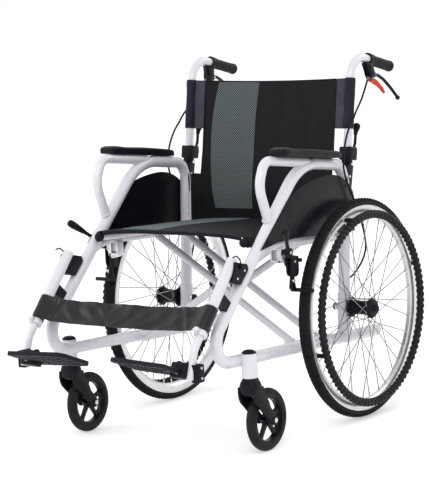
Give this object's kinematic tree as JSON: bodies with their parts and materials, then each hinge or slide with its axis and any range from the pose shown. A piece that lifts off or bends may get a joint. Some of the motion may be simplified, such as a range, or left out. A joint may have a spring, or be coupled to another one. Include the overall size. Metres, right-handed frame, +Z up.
{
  "type": "folding self-propelled wheelchair with attendant brakes",
  "caption": "Folding wheelchair with hand-rimmed rear wheels, swivel casters, swing-away leg rests and attendant brake grips.",
  "frame": {"origin": "centre of the overall box on the floor", "axes": "+Z up, the user faces -Y and the user's left is +X"},
  "size_m": [0.702, 1.052, 0.9151],
  "materials": {
    "frame_paint": "gloss white powder coat with a faint lavender tint",
    "black_plastic": "satin moulded black",
    "pad_polyurethane": "grained skin, satin black",
    "tyre_rubber": "matt black rubber",
    "grip_rubber": "matt black rubber",
    "alloy": "clear anodised",
    "zinc_steel": "bright zinc plate",
    "upholstery": "black coated cloth",
    "cable_sheath": "smooth black sheath",
    "red_plastic": "glossy red"
  },
  "bodies": {
    "frame_right": {"side_frame_right": "frame_paint", "side_guard_right": "black_plastic", "arm_pad_right": "pad_polyurethane", "rear_axle_right": "zinc_steel", "lock_bracket_right": "zinc_steel"},
    "wheel_right": {"rear_tyre_right": "tyre_rubber", "rear_rim_right": "alloy", "rear_hub_right": "black_plastic", "hand_rim_right": "grip_rubber"},
    "fork_right": {"caster_fork_right": "black_plastic"},
    "caster_right": {"caster_wheel_right": "black_plastic", "caster_tyre_right": "tyre_rubber"},
    "legrest_right": {"legrest_hanger_right": "frame_paint", "legrest_latch_right": "black_plastic", "calf_strap_right": "upholstery"},
    "legrest_release_right": {"legrest_lever_right": "black_plastic"},
    "foot_extension_right": {"footrest_extension_right": "frame_paint"},
    "foot_right": {"footplate_right": "black_plastic"},
    "lock_lever_right": {"lock_lever_right": "black_plastic"},
    "lock_shoe_right": {"lock_shoe_right": "black_plastic"},
    "back_right": {"back_cane_right": "frame_paint", "hand_grip_right": "grip_rubber", "back_collar_right": "black_plastic", "brake_body_right": "black_plastic", "brake_cable_right": "cable_sheath", "back_sling": "upholstery"},
    "back_release_right": {"back_release_right": "black_plastic"},
    "brake_lever_right": {"brake_lever_right": "black_plastic"},
    "park_lock_right": {"park_lock_right": "red_plastic"},
    "frame_left": {"side_frame_left": "frame_paint", "side_guard_left": "black_plastic", "arm_pad_left": "pad_polyurethane", "rear_axle_left": "zinc_steel", "lock_bracket_left": "zinc_steel"},
    "wheel_left": {"rear_tyre_left": "tyre_rubber", "rear_rim_left": "alloy", "rear_hub_left": "black_plastic", "hand_rim_left": "grip_rubber"},
    "fork_left": {"caster_fork_left": "black_plastic"},
    "caster_left": {"caster_wheel_left": "black_plastic", "caster_tyre_left": "tyre_rubber"},
    "legrest_left": {"legrest_hanger_left": "frame_paint", "legrest_latch_left": "black_plastic", "calf_strap_left": "upholstery"},
    "legrest_release_left": {"legrest_lever_left": "black_plastic"},
    "foot_extension_left": {"footrest_extension_left": "frame_paint"},
    "foot_left": {"footplate_left": "black_plastic"},
    "lock_lever_left": {"lock_lever_left": "black_plastic"},
    "lock_shoe_left": {"lock_shoe_left": "black_plastic"},
    "back_left": {"back_cane_left": "frame_paint", "hand_grip_left": "grip_rubber", "back_collar_left": "black_plastic", "brake_body_left": "black_plastic", "brake_cable_left": "cable_sheath"},
    "back_release_left": {"back_release_left": "black_plastic"},
    "brake_lever_left": {"brake_lever_left": "black_plastic"},
    "park_lock_left": {"park_lock_left": "red_plastic"},
    "brace_front": {"brace_front": "frame_paint", "seat_sling": "upholstery"},
    "brace_rear": {"brace_rear": "frame_paint"}
  },
  "joints": [
    {"name": "fold", "type": "hinge", "parent": "frame_right", "child": "brace_front", "pos_m": [-0.2225, 0.00403, 0.21547], "axis": [0, -0.9981, 0.0621], "range_deg": [0, 45], "deforming": ["seat_sling", "back_sling", "calf_strap_left", "calf_strap_right"]},
    {"name": "brace_cross", "type": "hinge", "parent": "brace_front", "child": "brace_rear", "pos_m": [0, 0.0265, 0.35104], "axis": [0, 0.9981, -0.0621], "range_deg": [0, 90]},
    {"name": "frame_left_pivot", "type": "hinge", "parent": "brace_rear", "child": "frame_left", "pos_m": [0.2225, 0.00403, 0.21547], "axis": [0, -0.9981, 0.0621], "range_deg": [0, 45]},
    {"name": "wheel_spin_right", "type": "hinge", "parent": "frame_right", "child": "wheel_right", "pos_m": [-0.302, 0.2286, 0.2794], "axis": [1, 0, 0], "continuous": true},
    {"name": "fork_swivel_right", "type": "hinge", "parent": "frame_right", "child": "fork_right", "pos_m": [-0.276, -0.2414, 0.19], "axis": [0, 0, 1], "continuous": true},
    {"name": "caster_spin_right", "type": "hinge", "parent": "fork_right", "child": "caster_right", "pos_m": [-0.276, -0.1834, 0.0765], "axis": [1, 0, 0], "continuous": true},
    {"name": "legrest_swing_right", "type": "hinge", "parent": "frame_right", "child": "legrest_right", "pos_m": [-0.25, -0.2114, 0.42017], "axis": [0, -0.7314, -0.682], "range_deg": [0, 90]},
    {"name": "legrest_release_right", "type": "hinge", "parent": "legrest_right", "child": "legrest_release_right", "pos_m": [-0.27, -0.2424, 0.4568], "axis": [-1, 0, 0], "range_deg": [0, 20], "stiffness_Nm_per_rad": 0.2},
    {"name": "foot_height_right", "type": "slide", "parent": "legrest_right", "child": "foot_extension_right", "axis": [0, -0.6827, -0.7307], "range_m": [0, 0.06]},
    {"name": "footplate_flip_right", "type": "hinge", "parent": "foot_extension_right", "child": "foot_right", "pos_m": [-0.228, -0.4449, 0.238], "axis": [0, -0.9272, 0.3746], "range_deg": [0, 87.5]},
    {"name": "wheel_lock_right", "type": "hinge", "parent": "frame_right", "child": "lock_lever_right", "pos_m": [-0.285, -0.0642, 0.4642], "axis": [-1, 0, 0], "range_deg": [0, 55]},
    {"name": "lock_shoe_right", "type": "hinge", "parent": "frame_right", "child": "lock_shoe_right", "pos_m": [-0.285, -0.0463, 0.4396], "axis": [-1, 0, 0], "range_deg": [0, 18.15]},
    {"name": "back_fold_right", "type": "hinge", "parent": "frame_right", "child": "back_right", "pos_m": [-0.25, 0.2742, 0.64], "axis": [-1, 0, 0], "range_deg": [0, 90], "deforming": ["back_sling", "brake_cable_right", "brake_cable_left"]},
    {"name": "back_release_right", "type": "hinge", "parent": "back_right", "child": "back_release_right", "pos_m": [-0.25, 0.3061, 0.665], "axis": [-1, 0, 0], "range_deg": [0, 20], "stiffness_Nm_per_rad": 0.3},
    {"name": "brake_squeeze_right", "type": "hinge", "parent": "back_right", "child": "brake_lever_right", "pos_m": [-0.25555, 0.41031, 0.85847], "axis": [0.9877, -0.0379, -0.1518], "range_deg": [0, 16], "stiffness_Nm_per_rad": 1},
    {"name": "park_catch_right", "type": "hinge", "parent": "back_right", "child": "park_lock_right", "pos_m": [-0.25839, 0.39036, 0.84499], "axis": [-0.9877, 0.0379, 0.1518], "range_deg": [0, 25]},
    {"name": "wheel_spin_left", "type": "hinge", "parent": "frame_left", "child": "wheel_left", "pos_m": [0.302, 0.2286, 0.2794], "axis": [1, 0, 0], "continuous": true},
    {"name": "fork_swivel_left", "type": "hinge", "parent": "frame_left", "child": "fork_left", "pos_m": [0.276, -0.2414, 0.19], "axis": [0, 0, 1], "continuous": true},
    {"name": "caster_spin_left", "type": "hinge", "parent": "fork_left", "child": "caster_left", "pos_m": [0.276, -0.1834, 0.0765], "axis": [1, 0, 0], "continuous": true},
    {"name": "legrest_swing_left", "type": "hinge", "parent": "frame_left", "child": "legrest_left", "pos_m": [0.25, -0.2114, 0.42017], "axis": [0, 0.7314, 0.682], "range_deg": [0, 90]},
    {"name": "legrest_release_left", "type": "hinge", "parent": "legrest_left", "child": "legrest_release_left", "pos_m": [0.27, -0.2424, 0.4568], "axis": [-1, 0, 0], "range_deg": [0, 20], "stiffness_Nm_per_rad": 0.2},
    {"name": "foot_height_left", "type": "slide", "parent": "legrest_left", "child": "foot_extension_left", "axis": [0, -0.6827, -0.7307], "range_m": [0, 0.06]},
    {"name": "footplate_flip_left", "type": "hinge", "parent": "foot_extension_left", "child": "foot_left", "pos_m": [0.228, -0.4449, 0.238], "axis": [0, 0.9272, -0.3746], "range_deg": [0, 87.5]},
    {"name": "wheel_lock_left", "type": "hinge", "parent": "frame_left", "child": "lock_lever_left", "pos_m": [0.285, -0.0642, 0.4642], "axis": [-1, 0, 0], "range_deg": [0, 55]},
    {"name": "lock_shoe_left", "type": "hinge", "parent": "frame_left", "child": "lock_shoe_left", "pos_m": [0.285, -0.0463, 0.4396], "axis": [-1, 0, 0], "range_deg": [0, 18.15]},
    {"name": "back_fold_left", "type": "hinge", "parent": "frame_left", "child": "back_left", "pos_m": [0.25, 0.2742, 0.64], "axis": [-1, 0, 0], "range_deg": [0, 90]},
    {"name": "back_release_left", "type": "hinge", "parent": "back_left", "child": "back_release_left", "pos_m": [0.25, 0.3061, 0.665], "axis": [-1, 0, 0], "range_deg": [0, 20], "stiffness_Nm_per_rad": 0.3},
    {"name": "brake_squeeze_left", "type": "hinge", "parent": "back_left", "child": "brake_lever_left", "pos_m": [0.25555, 0.41031, 0.85847], "axis": [0.9877, 0.0379, 0.1518], "range_deg": [0, 16], "stiffness_Nm_per_rad": 1},
    {"name": "park_catch_left", "type": "hinge", "parent": "back_left", "child": "park_lock_left", "pos_m": [0.25839, 0.39036, 0.84499], "axis": [-0.9877, -0.0379, -0.1518], "range_deg": [0, 25]}
  ],
  "couplings": [
    {"joint": "brace_cross", "follows": "fold", "ratio": 2},
    {"joint": "frame_left_pivot", "follows": "fold", "ratio": 1},
    {"joint": "footplate_flip_right", "follows": "fold", "ratio": 1.9444},
    {"joint": "footplate_flip_left", "follows": "fold", "ratio": 1.9444},
    {"joint": "lock_shoe_right", "follows": "wheel_lock_right", "ratio": 0.33},
    {"joint": "lock_shoe_left", "follows": "wheel_lock_left", "ratio": 0.33},
    {"joint": "back_fold_left", "follows": "back_fold_right", "ratio": 1}
  ]
}
